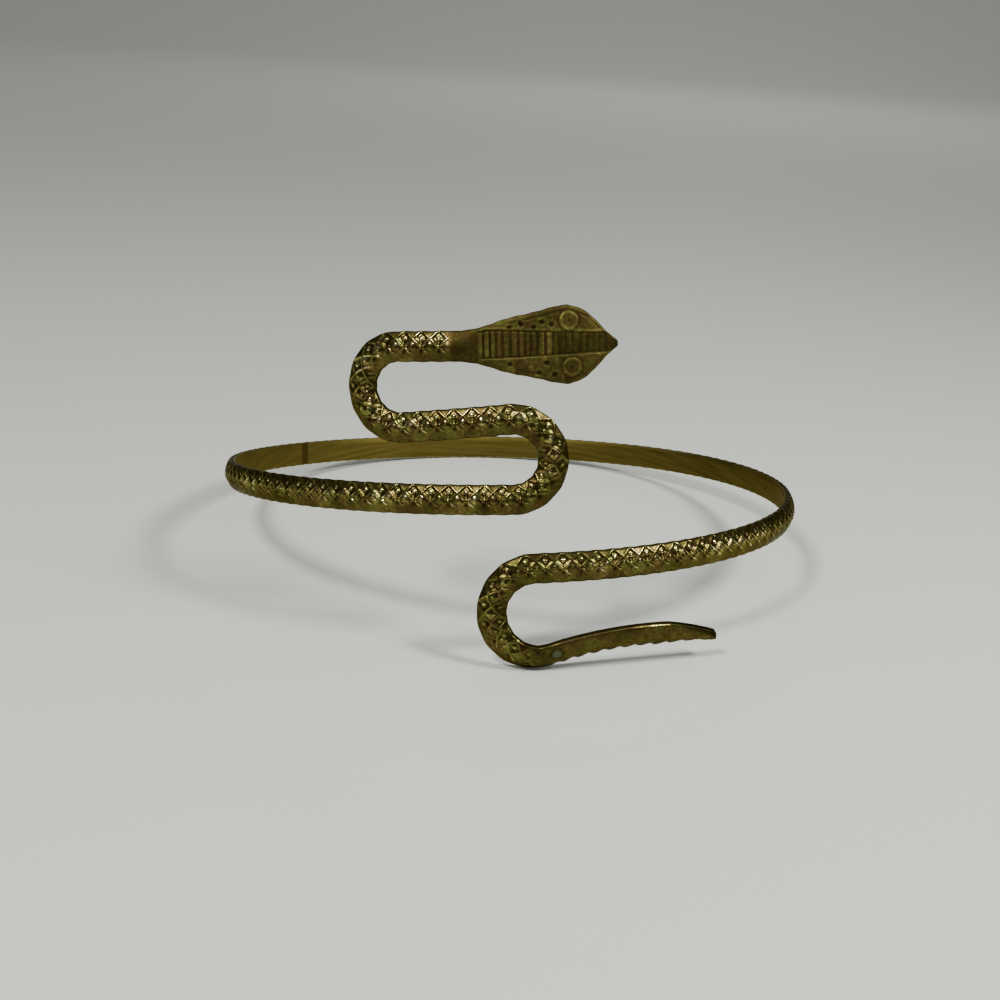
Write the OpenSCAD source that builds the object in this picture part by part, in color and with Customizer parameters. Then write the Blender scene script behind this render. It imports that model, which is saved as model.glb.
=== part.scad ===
// Upper arm cuff in the form of a coiled snake.
// One strip of sprung brass goes once round the arm, with raised scales on its face and a flat back.
// Its upper end turns back on itself twice and widens into a flat hooded head, its lower end turns back once and tapers into a tail.
// Sizes are in millimetres and angles in degrees, and the cuff stands on the table as it rests, tilted back a little.

/* [Arm opening] */

// Inner diameter of the round hoop
inner_d = 76; // [60:1:110]
// How far the band comes down in one turn round the arm
hoop_drop = 8; // [5:0.5:14]
// Height of the band's slow wave on its way round, up on the left and down on the right
hoop_sway = 0.5; // [0:0.05:1.5]
// Height of a second wave, twice in the turn
hoop_ripple = 0.2; // [0:0.05:0.5]
// How far the back of the hoop arches up
hoop_arch = 0.5; // [-1:0.1:1]
// How far to the right of the upper loop's foot the lower loop begins
loop_shift = 2.5; // [0:0.5:8]

/* [Band] */

// Width of the band
strip_w = 3.45; // [2.5:0.1:4.5]
// Thickness on the centre line, scales left out
strip_t = 1.25; // [1:0.05:2]
// Thickness at the two long edges
edge_t = 0.65; // [0.4:0.05:1]

/* [Scales] */

// Plain patch on the neck before the first scale
plain_l = 1.3; // [0.4:0.1:4]
// Length of one scale along the band
scale_l = 2; // [1.6:0.05:3]
// Height of the ridges between scales above the scales' floors
relief = 0.3; // [0.1:0.02:0.4]
// Place of the outer crossings of the ridges, as a share of half the band's width
crossing_at = 0.54; // [0.5:0.01:0.7]
// Place of the pearl in each outer scale, as a share of half the band's width
pearl_at = 0.52; // [0.48:0.01:0.56]
// Diameter of a pearl
pearl_d = 0.5; // [0.3:0.02:0.6]
// How far a ridge's end stands out at the band's long edges
scallop = 0.04; // [0:0.02:0.2]

/* [Upper loops] */

// Straight neck between the head and the first bend
neck_l = 7.3; // [4:0.1:12]
// Slope of the head and neck, falling to the left
neck_slope = 0.5; // [-3:0.1:3]
// Radius of the first bend, on the centre line
bend_1_r = 4.6; // [3.8:0.05:7]
// Length of the straight run between the two bends
mid_l = 12.2; // [6:0.1:20]
// Slope of that run, rising to the right
mid_slope = 4.8; // [0:0.2:8]
// Radius of the second bend, on the centre line
bend_2_r = 4.6; // [3.8:0.05:7]
// Turn of the band's face upwards where the hoop begins
lean = 2; // [0:1:15]

/* [Head] */

// How far the head's root lies to the left of the front's middle
head_shift = 5; // [0:0.5:10]
// Length of the hooded head from the plain neck to the snout
head_l = 17.5; // [12:0.2:24]
// Greatest width of the hood
head_w = 8.8; // [6:0.1:10]
// Thickness of the head's plate
head_t = 1.15; // [0.8:0.05:1.6]
// Height of the ribs, ridges and rings on the head
head_relief = 0.32; // [0.1:0.02:0.5]
// Distance from one cross rib to the next
rib_pitch = 0.76; // [0.6:0.02:1]
// Width of the ribbed strip between the two long ridges, at the neck
ladder_w = 2.9; // [2:0.1:4]
// Outer diameter of an eye
eye_d = 2.1; // [1.4:0.1:2.6]
// Outer diameter of a ringed spot on the hood
spot_d = 1; // [0.6:0.1:1.4]

/* [Tail] */

// Radius of the bend before the tail, on the centre line
bend_3_r = 5.1; // [4.2:0.05:8]
// Length of the tail after that bend
tail_l = 20.5; // [14:0.5:30]
// Slope at which the tail begins, rising to the right
tail_slope = 17; // [5:1:20]
// Turn of the tail back down along its length
tail_curl = 30; // [10:1:40]
// How far the tip springs away from the arm
tail_spring = 1.7; // [0:0.1:4]
// Turn of the tail's face downwards
tail_roll = 38; // [0:1:45]
// Length over which the tip narrows
taper_l = 6.5; // [3:0.5:10]
// Width of the blunt tip
tip_w = 1.1; // [0.8:0.1:2]

/* [Rest] */

// Lean of the hoop back from upright as it stands on the table
rest_tilt = 10.7; // [0:0.1:20]
// Lean of the hoop to its side, right side up
rest_side = -4.2; // [-6:0.1:6]

/* [Hidden] */

brass = "#8c7a3e";
former_r = inner_d / 2;
hoop_run = PI * inner_d - loop_shift;

// Outline of the head from the neck to the snout
// share of head_l, share of head_w
HOOD = [
    [0.00, strip_w / head_w],
    [0.11, 0.45],
    [0.27, 0.66],
    [0.43, 0.80],
    [0.55, 0.92],
    [0.61, 0.97],
    [0.68, 1.00],
    [0.74, 0.95],
    [0.80, 0.83],
    [0.85, 0.65],
    [0.89, 0.48],
    [0.92, 0.35],
    [0.97, 0.17],
    [1.00, 0.08],
];

// Ringed spots on the hood
// share of head_l, share of half head_w with the upper side positive
SPOTS = [
    [0.31, 0.44],
    [0.38, 0.53],
    [0.46, 0.45],
    [0.51, 0.58],
    [0.57, 0.51],
    [0.31, -0.47],
    [0.49, -0.70],
    [0.54, -0.46],
    [0.59, -0.74],
];

// Eyes
// share of head_l, share of half head_w with the upper side positive
EYES = [
    [0.68, 0.60],
    [0.70, -0.57],
];

// Point and heading after a way d on a stretch that begins at p and turns evenly by turn over its length
function along(p, length, turn, d) =
    abs(turn) < 0.01
        ? [p[0] + d * cos(p[2]), p[1] + d * sin(p[2]), p[2]]
        : let (r = length * 180 / (PI * turn), a = p[2] + turn * d / length)
            [p[0] + r * (sin(a) - sin(p[2])), p[1] - r * (cos(a) - cos(p[2])), a];

function arc_l(r, turn) = r * abs(turn) * PI / 180;
function smooth(k) = let (c = min(1, max(0, k))) c * c * (3 - 2 * c);

// The band's centre line on the former unrolled flat: way round to the right, height, heading
turn_1 = 180 + mid_slope - neck_slope;
turn_2 = hoop_heading(0) - 360 - mid_slope;
turn_3 = 360 + tail_slope - hoop_heading(1);

root = [-head_shift, 0, 180 + neck_slope];
bend_1_start = along(root, neck_l, 0, neck_l);
bend_1_l = arc_l(bend_1_r, turn_1);
mid_start = along(bend_1_start, bend_1_l, turn_1, bend_1_l);
bend_2_start = along(mid_start, mid_l, 0, mid_l);
bend_2_l = arc_l(bend_2_r, turn_2);
hoop_start = along(bend_2_start, bend_2_l, turn_2, bend_2_l);
bend_3_start = hoop_point(1);
bend_3_l = arc_l(bend_3_r, turn_3);
tail_start = along(bend_3_start, bend_3_l, turn_3, bend_3_l);

// Way along the band at which each stretch begins, counted from the head's root
at_bend_1 = neck_l;
at_mid = at_bend_1 + bend_1_l;
at_bend_2 = at_mid + mid_l;
at_hoop = at_bend_2 + bend_2_l;
at_bend_3 = at_hoop + hoop_run;
at_tail = at_bend_3 + bend_3_l;
band_l = at_tail + tail_l;

// The hoop at a share k of its turn round the arm
function hoop_height(k) =
    hoop_arch * sin(180 * k) + hoop_sway * sin(360 * k) + hoop_ripple * sin(720 * k) - hoop_drop * k;
function hoop_fall(k) =
    hoop_drop - PI * (hoop_arch * cos(180 * k) + 2 * hoop_sway * cos(360 * k) + 4 * hoop_ripple * cos(720 * k));
function hoop_heading(k) = 180 + atan(hoop_fall(k) / hoop_run);
function hoop_point(k) = [hoop_start[0] - hoop_run * k, hoop_start[1] + hoop_height(k), hoop_heading(k)];

function centre_line(d) =
    d < at_bend_1 ? along(root, neck_l, 0, d)
    : d < at_mid ? along(bend_1_start, bend_1_l, turn_1, d - at_bend_1)
    : d < at_bend_2 ? along(mid_start, mid_l, 0, d - at_mid)
    : d < at_hoop ? along(bend_2_start, bend_2_l, turn_2, d - at_bend_2)
    : d < at_bend_3 ? hoop_point((d - at_hoop) / hoop_run)
    : d < at_tail ? along(bend_3_start, bend_3_l, turn_3, d - at_bend_3)
    : along(tail_start, tail_l, -tail_curl, d - at_tail);

// Turn of the face about the centre line
function roll(d) =
    d < at_bend_2 ? 0
    : d < at_hoop ? lean * (d - at_bend_2) / bend_2_l
    : d < at_bend_3 ? lean * max(0, 1 - 4 * (d - at_hoop) / hoop_run)
    : tail_roll * smooth(((d - at_bend_3) / bend_3_l - 0.35) / 0.65);

// Distance of the back from the former
function spring(d) = d < at_tail ? 0 : tail_spring * pow((d - at_tail) / tail_l, 2);

// Point of the cuff at a way d along the band, y across it and h above its back, hoop upright
function wrapped(d, y, h) =
    let (
        p = centre_line(d),
        a = p[0] * 180 / (PI * former_r),
        out = [sin(a), -cos(a), 0],
        ahead = [cos(a) * cos(p[2]), sin(a) * cos(p[2]), sin(p[2])],
        side = cross(out, ahead),
        r = roll(d)
    )
    out * (former_r + spring(d)) + [0, 0, p[1]]
        + (side * cos(r) + out * sin(r)) * y
        + (out * cos(r) - side * sin(r)) * h;

// The same point once the hoop leans as it rests
function rested(p) =
    let (y = p[1] * cos(rest_tilt) + p[2] * sin(rest_tilt), z = p[2] * cos(rest_tilt) - p[1] * sin(rest_tilt))
    [p[0] * cos(rest_side) + z * sin(rest_side), y, z * cos(rest_side) - p[0] * sin(rest_side)];

// Head, as rows of points across it from the snout to the root
head_step = rib_pitch / 2;
head_rows = floor(head_l / head_step);
quarter_cells = round(head_w / 1.25);
head_cells = 4 * quarter_cells;

function hood_half(x) = lookup(x / head_l, HOOD) * head_w / 2;
function bump(distance, radius) = pow(max(0, 1 - distance / radius), 2) * (1 + 2 * min(1, distance / radius));
function ring(distance, d) = bump(abs(distance - 0.36 * d), 0.2 * d) + 0.8 * bump(distance, 0.2 * d);
function spot_height(x, y, spots, d) =
    max([for (s = spots) ring(norm([x - s[0] * head_l, y - s[1] * head_w / 2]), d)]);

// Relief of the head at x from its root and y above its middle: ridges, cross ribs, rim, eyes and spots
function head_carving(x, y) =
    let (
        half = hood_half(x),
        way = x / head_l,
        ladder = min(ladder_w / 2 * (1 - 0.3 * way), 0.62 * half),
        ends = smooth((way - 0.09) / 0.05) * smooth((1 - way) / 0.07),
        inside = smooth((ladder - abs(y)) / (0.1 * ladder_w)),
        rib = round(x / head_step) % 2 == 0 ? 1 : 0,
        ridge = bump(abs(abs(y) - ladder), 0.15 * ladder_w),
        rim = 0.9 * smooth(1 - (half - abs(y)) / (0.06 * head_w)) * smooth((way - 0.14) / 0.12)
    )
    ends * max(ridge, inside * 0.85 * rib, rim, spot_height(x, y, EYES, eye_d), spot_height(x, y, SPOTS, spot_d) * 0.8);

function head_top(x, y) =
    let (k = abs(y) / hood_half(x), swell = smooth(6 * x / head_l))
    (edge_t + (strip_t - edge_t) * (1 - k * k)) * (1 - swell)
        + (head_t * (1 - 0.2 * pow(k, 6)) - 0.5 * head_relief) * swell
        + head_relief * head_carving(x, y);

function head_row(i) =
    let (x = head_l * (1 - i / head_rows) + head_step * i / head_rows, half = hood_half(x))
    concat(
        [wrapped(-x, half, 0)],
        [for (j = [0:head_cells]) let (y = half * (1 - 2 * j / head_cells)) wrapped(-x, y, head_top(x, -y))],
        [wrapped(-x, -half, 0)]
    );

// Band, as a repeat of one scale: a row half way between crossings, the crossing row and the two pearls
scale_count = round((band_l - plain_l) / scale_l);
pitch = (band_l - plain_l) / scale_count;

function band_half(d) = (strip_w + (tip_w - strip_w) * max(0, 1 - (band_l - d) / taper_l)) / 2;
function dome(k) = edge_t + (strip_t - edge_t) * (1 - k * k);

// Point of the band's face at a way d, with k the share of half its width and rise in shares of the relief
function face(d, k, rise) = wrapped(d, k * band_half(d), dome(k) + rise * relief);
function edge(d, side, out, rise) = wrapped(d, side * (band_half(d) + out * scallop), edge_t + rise * relief);
function back(d, side) = wrapped(d, side * band_half(d), 0);

function between_row(d) = [
    back(d, 1),
    edge(d, 1, -1, -0.2),
    face(d, crossing_at, 0.5),
    face(d, 0, -0.25),
    face(d, -crossing_at, 0.5),
    edge(d, -1, -1, -0.2),
    back(d, -1)
];

function crossing_row(d) = [
    back(d, 1),
    edge(d, 1, 1, 0.4),
    face(d, 0, 0.5),
    edge(d, -1, 1, 0.4),
    back(d, -1)
];

function pearl(d, side) =
    let (r = pearl_d / 2, k = r / band_half(d), m = side * pearl_at)
    [face(d - r, m, -0.5), face(d, m - k, -0.5), face(d + r, m, -0.5), face(d, m + k, -0.5), face(d, m, 0.3)];

function one_scale(i) =
    let (d = plain_l + i * pitch)
    concat(between_row(d), crossing_row(d + pitch / 2), pearl(d + pitch / 2, 1), pearl(d + pitch / 2, -1));

// Points in a row of the head, in the band's two kinds of row, in a pearl and in a whole scale
row_size = len(head_row(0));
between_points = len(between_row(0));
crossing_points = len(crossing_row(0));
pearl_points = len(pearl(0, 1));
scale_size = len(one_scale(0));

upright = concat(
    [for (i = [0:head_rows]) each head_row(i)],
    [for (i = [0:scale_count - 1]) each one_scale(i)],
    between_row(band_l)
);

// Faces, each named by its points in clockwise order from outside
function quad(a, b, c, d) = [[a, b, c], [a, c, d]];

function head_faces(i) = [
    for (j = [0:row_size - 1])
        let (a = i * row_size + j, b = i * row_size + (j + 1) % row_size)
        each quad(a, a + row_size, b + row_size, b)
];

first_scale = (head_rows + 1) * row_size;

// Join of the head's last row to the band's first one
function join_faces() =
    let (h = head_rows * row_size, b = first_scale, q = quarter_cells)
    concat(
        quad(h, b, b + 1, h + 1),
        [
            for (g = [0:3]) each concat(
                [for (i = [0:q / 2 - 1]) [h + 1 + g * q + i, b + 1 + g, h + 2 + g * q + i]],
                [[h + 1 + g * q + floor(q / 2), b + 1 + g, b + 2 + g]],
                [for (i = [floor(q / 2):q - 1]) [h + 1 + g * q + i, b + 2 + g, h + 2 + g * q + i]]
            )
        ],
        quad(h + row_size - 2, b + 5, b + 6, h + row_size - 1),
        quad(h + row_size - 1, b + 6, b, h)
    );

// Sunk cell between four ridge ends with a pearl in it
function cell_faces(left, up, right, down, p) = concat(
    quad(left, up, p + 3, p),
    quad(up, right, p + 2, p + 3),
    quad(right, down, p + 1, p + 2),
    quad(down, left, p, p + 1),
    [[p, p + 3, p + 4], [p + 3, p + 2, p + 4], [p + 2, p + 1, p + 4], [p + 1, p, p + 4]]
);

function scale_faces(i) =
    let (
        b = first_scale + i * scale_size,
        c = b + between_points,
        p = c + crossing_points,
        n = b + scale_size
    )
    concat(
        cell_faces(b + 2, c + 1, n + 2, c + 2, p),
        cell_faces(b + 4, c + 2, n + 4, c + 3, p + pearl_points),
        [[b + 2, c + 2, b + 3], [c + 2, b + 4, b + 3], [c + 2, n + 2, n + 3], [n + 4, c + 2, n + 3]],
        [[b + 2, b + 1, c + 1], [n + 2, c + 1, n + 1], [b + 4, c + 3, b + 5], [n + 4, n + 5, c + 3]],
        quad(b, c, c + 1, b + 1),
        quad(c, n, n + 1, c + 1),
        quad(b + 5, c + 3, c + 4, b + 6),
        quad(c + 3, n + 5, n + 6, c + 4),
        quad(b + 6, c + 4, c, b),
        quad(c + 4, n + 6, n, c)
    );

last_row = first_scale + scale_count * scale_size;

cuff_faces = concat(
    [for (j = [1:row_size - 2]) [0, j, j + 1]],
    [for (i = [0:head_rows - 1]) each head_faces(i)],
    join_faces(),
    [for (i = [0:scale_count - 1]) each scale_faces(i)],
    [for (j = [1:between_points - 2]) [last_row, last_row + j + 1, last_row + j]]
);

// The whole cuff set down on the table with the middle of its outline at the origin
leaning = [for (p = upright) rested(p)];
xs = [for (p = leaning) p[0]];
ys = [for (p = leaning) p[1]];
shift = [-(min(xs) + max(xs)) / 2, -(min(ys) + max(ys)) / 2, -min([for (p = leaning) p[2]])];

module snake_cuff() {
    color(brass)
    polyhedron(points = [for (p = leaning) p + shift], faces = cuff_faces, convexity = 10);
}

snake_cuff();
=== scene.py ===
# %% [markdown]
# Snake arm cuff in aged brass
#
# The real thing is one strip of brass, stamped with scales, bent round the arm and left springy.
# The CAD model is already the right shape and stands where the cuff stands, so this lesson keeps its sizes.
# It builds the same strip again as a much finer mesh,
# because the small scales catch the light and a coarse solid can't show that.

# %% Load the frame
import math
from types import SimpleNamespace

import bpy
import numpy as np
from mathutils import Euler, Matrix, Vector


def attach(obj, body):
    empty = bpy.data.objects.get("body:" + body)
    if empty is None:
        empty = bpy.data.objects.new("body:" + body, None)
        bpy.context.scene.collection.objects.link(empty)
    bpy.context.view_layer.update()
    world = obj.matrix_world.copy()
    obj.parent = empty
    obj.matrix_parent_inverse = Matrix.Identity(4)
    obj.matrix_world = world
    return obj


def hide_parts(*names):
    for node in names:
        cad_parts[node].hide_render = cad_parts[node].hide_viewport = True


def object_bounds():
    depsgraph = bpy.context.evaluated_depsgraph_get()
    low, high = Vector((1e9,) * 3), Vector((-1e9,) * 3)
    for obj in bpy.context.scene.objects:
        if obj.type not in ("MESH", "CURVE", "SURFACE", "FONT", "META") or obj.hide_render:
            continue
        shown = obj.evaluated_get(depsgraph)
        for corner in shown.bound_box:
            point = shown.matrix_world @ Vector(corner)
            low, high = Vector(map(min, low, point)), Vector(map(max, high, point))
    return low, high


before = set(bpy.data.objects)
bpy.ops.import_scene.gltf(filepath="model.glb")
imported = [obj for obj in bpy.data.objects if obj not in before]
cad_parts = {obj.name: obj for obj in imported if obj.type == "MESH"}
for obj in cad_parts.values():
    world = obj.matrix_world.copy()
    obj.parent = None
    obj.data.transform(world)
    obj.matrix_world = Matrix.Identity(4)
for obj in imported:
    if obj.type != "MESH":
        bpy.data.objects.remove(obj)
cad_box = [list(corner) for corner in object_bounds()]
MM = 0.001  # a millimetre in Blender's metres
print("nodes:", list(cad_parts))
print("CAD box in mm:", [[round(v / MM, 2) for v in corner] for corner in cad_box])

# %% [markdown]
# The strip's sizes
#
# A maker would cut, stamp and bend the strip from a short list of sizes.
# The mesh could be fitted to the CAD model's surface instead, but then its scales would be as coarse.
# So it starts from the same list. All of these sizes are the CAD model's own, in millimetres and degrees.

# %% Sizes of the hoop
INNER_D = 76  # inner diameter of the round hoop
HOOP_DROP = 8  # how far the band comes down in one turn round the arm
HOOP_SWAY = 0.5  # height of the slow wave, up on the left and down on the right
HOOP_RIPPLE = 0.2  # height of a second wave, twice in the turn
HOOP_ARCH = 0.5  # how far the back of the hoop arches up
LOOP_SHIFT = 2.5  # how far to the right of the upper loop's foot the lower loop begins

FORMER_R = INNER_D / 2
HOOP_RUN = math.pi * INNER_D - LOOP_SHIFT
print("hoop run", round(HOOP_RUN, 2), "mm")

# %% Sizes of the band and the upper loops
STRIP_W = 3.45  # width of the band
STRIP_T = 1.25  # thickness on the centre line, scales left out
EDGE_T = 0.65  # thickness at the two long edges
PLAIN_L = 1.3  # plain patch on the neck before the first scale
SCALE_L = 2  # length of one scale along the band
NECK_L = 7.3  # straight neck between the head and the first bend
NECK_SLOPE = 0.5  # slope of the head and neck, falling to the left
BEND_1_R = 4.6
MID_L = 12.2  # straight run between the two bends
MID_SLOPE = 4.8  # slope of that run, rising to the right
BEND_2_R = 4.6
LEAN = 2  # turn of the face upwards where the hoop begins
LEAN_SHARE = 0.25  # share of the hoop over which that turn fades
print("band", STRIP_W, "mm wide and", STRIP_T, "mm thick")

# %% Sizes of the head and the tail
HEAD_SHIFT = 5  # how far the head's root lies to the left of the front's middle
HEAD_L = 17.5  # from the plain neck to the snout
HEAD_W = 8.8  # greatest width of the hood
HEAD_T = 1.15  # thickness of the head's plate
RIB_PITCH = 0.76  # from one cross rib to the next
EYE_R = 1.05
BEND_3_R = 5.1
TAIL_L = 20.5  # length of the tail after the last bend
TAIL_SLOPE = 17  # slope at which the tail begins, rising to the right
TAIL_CURL = 30  # turn of the tail back down along its length
TAIL_SPRING = 1.7  # how far the tip springs away from the arm
TAIL_ROLL = 38  # turn of the tail's face downwards
ROLL_FROM = 0.35  # share of the last bend at which that turn begins
TAPER_L = 6.5  # length over which the tip narrows
TIP_W = 1.1  # width of the blunt tip
print("head", HEAD_L, "by", HEAD_W, "mm, tail", TAIL_L, "mm")

# %% [markdown]
# The centre line
#
# A bent strip is easiest to think of unrolled: straight runs and even bends drawn on a flat sheet.
# Each stretch starts where the one before it ends, so the whole line is walked from the neck to the tail.
# A curve object could carry the strip too, but then the scales would not know how far along they are.


# %% One stretch of the line
def walk(start, length, turn, d):
    """Places and headings in degrees after ways d on a stretch that turns evenly by turn over its length."""
    x, z, heading = start
    a = math.radians(heading)
    if abs(turn) < 0.01:
        return x + d * math.cos(a), z + d * math.sin(a), heading + 0 * d
    r = length * 180 / (math.pi * turn)
    end = heading + turn * d / length
    b = np.radians(end)
    return x + r * (np.sin(b) - math.sin(a)), z - r * (np.cos(b) - math.cos(a)), end


def bend_length(r, turn):
    return r * abs(turn) * math.pi / 180


print("half a turn of the first bend is", round(bend_length(BEND_1_R, 180), 1), "mm long")


# %% The hoop's own gentle wave
def hoop_heading(k):
    """Heading in degrees at a share k of the turn round the arm."""
    w = np.radians(180 * k)
    wave = HOOP_ARCH * np.cos(w) + 2 * HOOP_SWAY * np.cos(2 * w) + 4 * HOOP_RIPPLE * np.cos(4 * w)
    return 180 + np.degrees(np.arctan((HOOP_DROP - math.pi * wave) / HOOP_RUN))


def hoop(start, length, turn, d):
    """As walk, for the stretch that goes once round the arm."""
    k = d / length
    w = np.radians(180 * k)
    rise = HOOP_ARCH * np.sin(w) + HOOP_SWAY * np.sin(2 * w) + HOOP_RIPPLE * np.sin(4 * w) - HOOP_DROP * k
    return start[0] - length * k, start[1] + rise, hoop_heading(k)


print("the hoop begins and ends at", [round(float(hoop_heading(k)), 1) for k in (0, 1)], "degrees")

# %% All stretches in order
TURN_1 = 180 + MID_SLOPE - NECK_SLOPE
TURN_2 = float(hoop_heading(0)) - 360 - MID_SLOPE
TURN_3 = 360 + TAIL_SLOPE - float(hoop_heading(1))
STRETCHES = [
    # name, how it runs, length, turn
    ("neck", walk, NECK_L, 0),
    ("bend 1", walk, bend_length(BEND_1_R, TURN_1), TURN_1),
    ("middle run", walk, MID_L, 0),
    ("bend 2", walk, bend_length(BEND_2_R, TURN_2), TURN_2),
    ("hoop", hoop, HOOP_RUN, 0),
    ("bend 3", walk, bend_length(BEND_3_R, TURN_3), TURN_3),
    ("tail", walk, TAIL_L, -TAIL_CURL),
]
STARTS, AT = {}, {}
point, way = (-HEAD_SHIFT, 0.0, 180 + NECK_SLOPE), 0.0
for name, shape, length, turn in STRETCHES:
    STARTS[name], AT[name] = point, way
    point = tuple(float(v) for v in shape(point, length, turn, length))
    way += length
BAND_L = way
print({name: round(at, 1) for name, at in AT.items()}, "band", round(BAND_L, 1), "mm")


# %% The whole line
def centre_line(d):
    """Way round to the right, height and heading at ways d along the strip."""
    d = np.asarray(d, float)
    x, z, heading = walk(STARTS["neck"], NECK_L, 0, d)
    for name, shape, length, turn in STRETCHES[1:]:
        here = d >= AT[name]
        there = shape(STARTS[name], length, turn, d - AT[name])
        x, z, heading = [np.where(here, new, old) for new, old in zip(there, (x, z, heading))]
    return x, z, heading


print("on the flat sheet the tail's tip is at", [round(float(v), 1) for v in centre_line(BAND_L)])

# %% [markdown]
# From the flat sheet to the arm
#
# The sheet is wrapped on a round former the size of an upper arm.
# The tail's face rolls down and its tip springs away.
# Last, the whole hoop leans back, because it rests on the foot of the tail's bend and on its back's edge.
# Bend modifiers could do the wrapping, but one formula puts every point exactly where the CAD model has it.


# %% Soft steps and the turn of the face
def smooth(k):
    k = np.clip(k, 0, 1)
    return k * k * (3 - 2 * k)


def roll(d):
    """Turn of the face about the centre line, in radians."""
    growing = np.clip((d - AT["bend 2"]) / (AT["hoop"] - AT["bend 2"]), 0, 1)
    fading = np.clip(1 - (d - AT["hoop"]) / (LEAN_SHARE * HOOP_RUN), 0, 1)
    bend = (d - AT["bend 3"]) / (AT["tail"] - AT["bend 3"])
    down = smooth((bend - ROLL_FROM) / (1 - ROLL_FROM))
    return np.radians(LEAN * growing * fading + TAIL_ROLL * down)


print("the tail's face is turned by", round(math.degrees(roll(BAND_L)), 1), "degrees")


# %% Wrap the strip on the former
def wrapped(d, y, h):
    """Points at ways d along the strip, y across it and h above its back, in millimetres, hoop upright."""
    x, z, heading = centre_line(d)
    a, b = x / FORMER_R, np.radians(heading)
    zero = np.zeros_like(a)
    out = np.stack([np.sin(a), -np.cos(a), zero], -1)
    ahead = np.stack([np.cos(a) * np.cos(b), np.sin(a) * np.cos(b), np.sin(b)], -1)
    side = np.cross(out, ahead)
    away = FORMER_R + TAIL_SPRING * np.clip((d - AT["tail"]) / TAIL_L, 0, 1) ** 2
    middle = out * away[..., None] + np.stack([zero, zero, z], -1)
    c, s = np.cos(roll(d))[..., None], np.sin(roll(d))[..., None]
    return middle + (side * c + out * s) * y[..., None] + (out * c - side * s) * h[..., None]


print("root of the head on the former:", wrapped(*np.zeros((3, 1))).round(1))

# %% Lean the hoop as it rests
REST_TILT = math.radians(10.7)  # back from upright
REST_SIDE = math.radians(-4.2)  # to its side, right side up


def rested(p):
    """The same points once the hoop leans on the table."""
    x, y, z = p[..., 0], p[..., 1], p[..., 2]
    back = y * math.cos(REST_TILT) + z * math.sin(REST_TILT)
    up = z * math.cos(REST_TILT) - y * math.sin(REST_TILT)
    across = x * math.cos(REST_SIDE) + up * math.sin(REST_SIDE)
    return np.stack([across, back, up * math.cos(REST_SIDE) - x * math.sin(REST_SIDE)], -1)


print("front of the upright hoop goes to", rested(np.array([0, -FORMER_R, 0])).round(1))

# %% [markdown]
# The scales
#
# The die cuts a net of crossing ridges into the strip, three rows of scales across.
# Each outer scale is a four-sided hollow with a pearl in it.
# Each middle scale rises to a low point, with a crease along it.
# The side that faces down is rubbed shallow and darkened evenly as painted shade, which also dulls it, and
# only the ridges' starts catch the light there, as raised streaks painted bright as highlights.
# On the tail the upper half is worn nearly smooth, and only the lower edge still shows its teeth.
# One modelled scale could be repeated along a curve, but in the tight bends its copies would part or overlap.
# Here the relief is a height over the strip, so it bends with it.
# The grid's diagonals run exactly along the ridges, so they stay crisp with few points.

# %% The grid of scales
SCALES = round((BAND_L - PLAIN_L) / SCALE_L)
PITCH = (BAND_L - PLAIN_L) / SCALES
CELLS_PER_SCALE = 14  # grid cells along one scale
HALF_CELLS = 13  # grid cells from the strip's middle to its edge
CROSSING_CELLS = 7  # grid cells from the strip's middle to the outer crossings and the pearls
CROSSING_MM = STRIP_W / 2 * CROSSING_CELLS / HALF_CELLS
ON_RIDGE = 0.01  # points nearer to a ridge than this belong to neither side of it


def in_scale(d, k):
    """The scale that each point is in, and its place there, at ways d and shares k of half the width.

    The place is how far off the scale's crossing it lies, as a share of the pitch, then along, from 0 at the
    crossing to 1 half way to the next, and across, from 0 on the middle line to 1 at the outer crossings."""
    count = (d - PLAIN_L) / PITCH - 0.5
    number = np.floor(count + 0.5).astype(int)
    off = count - number
    return number, off, 2 * np.abs(off), np.abs(k) * HALF_CELLS / CROSSING_CELLS


print("scales", SCALES, "pitch", round(PITCH, 3), "mm, outer crossings", round(CROSSING_MM, 2), "mm out")

# %% Wear from scale to scale, and the side that faces down, shallower and darkened as painted shade
LOWEST, HIGHEST = 0.65, 1.15  # height of a scale's relief as a share of the usual one
WEAR_MIDDLE = (LOWEST + HIGHEST) / 2
LOW_FROM, LOW_STEEP = 0.25, 1.6  # how the rubbed side begins a little above the middle line
wear = np.random.default_rng(11).uniform(LOWEST, HIGHEST, (SCALES + 2, 3))


def worn_at(number, k, middle):
    row = np.where(middle, 1, np.where(k > 0, 0, 2))
    return wear[np.clip(number + 1, 0, SCALES + 1), row]


def low_side(d, k):
    """1 on the half of the strip that faces down, 0 on the half that faces up."""
    return smooth(LOW_FROM - LOW_STEEP * k * np.cos(np.radians(centre_line(d)[2])))


print("average wear", wear.mean().round(2))


# %% Round and pointed profiles
def tent(distance, reach):
    return np.clip(1 - distance / reach, 0, 1)


def bowl(distance, reach):
    return np.sqrt(np.clip(1 - (distance / reach) ** 2, 0, 1))


print("half way out a tent is", tent(0.5, 1), "high and a bowl", round(float(bowl(0.5, 1)), 2))

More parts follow.
